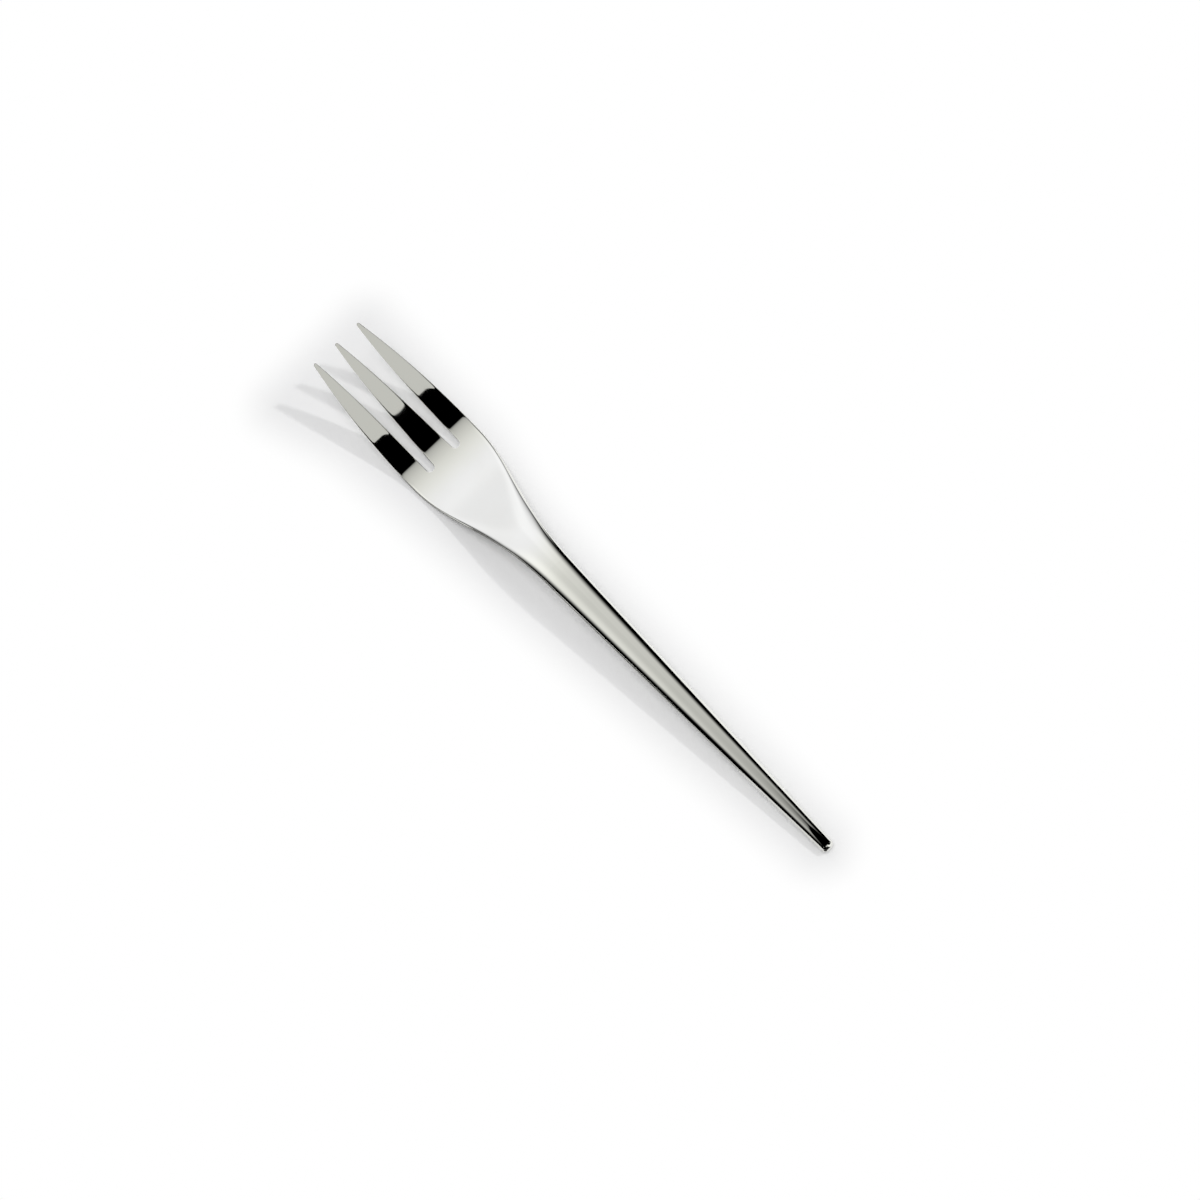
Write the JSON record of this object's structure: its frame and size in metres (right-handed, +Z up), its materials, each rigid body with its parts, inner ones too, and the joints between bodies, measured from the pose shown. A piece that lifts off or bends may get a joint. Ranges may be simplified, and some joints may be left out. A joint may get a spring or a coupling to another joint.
{
  "type": "fish fork",
  "caption": "Fish fork in mirror-polished steel: broad pointed tines, a flared palm and a slender tapered bar handle brazed on behind the neck.",
  "frame": {"origin": "on the table that the fork lies on, under the middle of its length and width", "axes": "+X along the fork from the handle end to the tine tips, +Z up from the table, +Y across the fork"},
  "size_m": [0.183, 0.0226, 0.0163],
  "materials": {
    "polished_steel": "mirror-polished stainless steel",
    "silver_braze": "silver brazing alloy, polished flush with the steel"
  },
  "bodies": {
    "root": {"handle": "polished_steel", "braze_film": "silver_braze", "fork_head": "polished_steel"}
  },
  "joints": []
}
